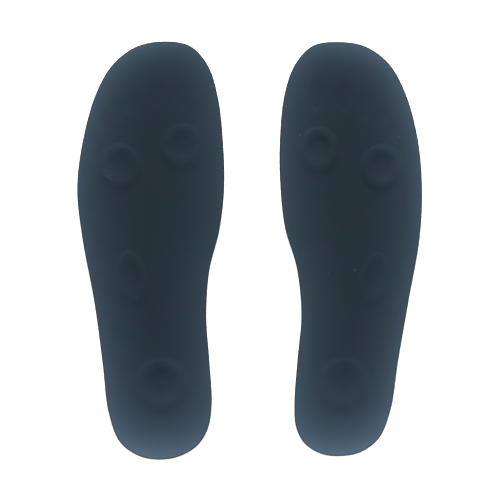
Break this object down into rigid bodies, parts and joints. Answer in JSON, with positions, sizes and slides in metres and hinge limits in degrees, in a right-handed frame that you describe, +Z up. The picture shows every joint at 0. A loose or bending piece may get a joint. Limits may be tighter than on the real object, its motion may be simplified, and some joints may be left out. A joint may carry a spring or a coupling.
{
  "type": "cushioned insole pair",
  "caption": "Pair of flat cushioned shoe insoles: cloth-covered foam beds with raised gel ring pads under the ball, midfoot and heel, bending behind the ball.",
  "frame": {"origin": "on the surface that the pair lies on, under the middle of the box round both insoles", "axes": "+Y from heel to toes, +X from the left insole to the right one, +Z up out of the top cloth"},
  "size_m": [0.2232, 0.27, 0.0068],
  "materials": {
    "top_cloth": "matte",
    "foam": "matte",
    "gel": "satin",
    "base_cloth": "matte"
  },
  "bodies": {
    "left_rearfoot": {"left_base_cloth": "base_cloth", "left_foam_rear": "foam", "left_midfoot_pad": "gel", "left_heel_pad": "gel", "left_top_cloth": "top_cloth"},
    "left_forefoot": {"left_foam_front": "foam", "left_ball_inner_pad": "gel", "left_ball_outer_pad": "gel"},
    "right_rearfoot": {"right_base_cloth": "base_cloth", "right_foam_rear": "foam", "right_midfoot_pad": "gel", "right_heel_pad": "gel", "right_top_cloth": "top_cloth"},
    "right_forefoot": {"right_foam_front": "foam", "right_ball_inner_pad": "gel", "right_ball_outer_pad": "gel"}
  },
  "joints": [
    {"name": "left_ball_flex", "type": "hinge", "parent": "left_rearfoot", "child": "left_forefoot", "pos_m": [-0.05736, 0.0432, 0.0055], "axis": [0.9499, 0.3127, 0], "range_deg": [0, 50], "stiffness_Nm_per_rad": 0.15, "deforming": ["left_top_cloth", "left_base_cloth"]},
    {"name": "right_insole_lift", "type": "slide", "parent": "left_rearfoot", "child": "right_rearfoot", "axis": [0, 0, 1], "range_m": [0, 0.1]},
    {"name": "right_ball_flex", "type": "hinge", "parent": "right_rearfoot", "child": "right_forefoot", "pos_m": [0.05996, 0.04249, 0.0055], "axis": [0.9612, -0.2757, 0], "range_deg": [0, 50], "stiffness_Nm_per_rad": 0.15, "deforming": ["right_top_cloth", "right_base_cloth"]}
  ]
}
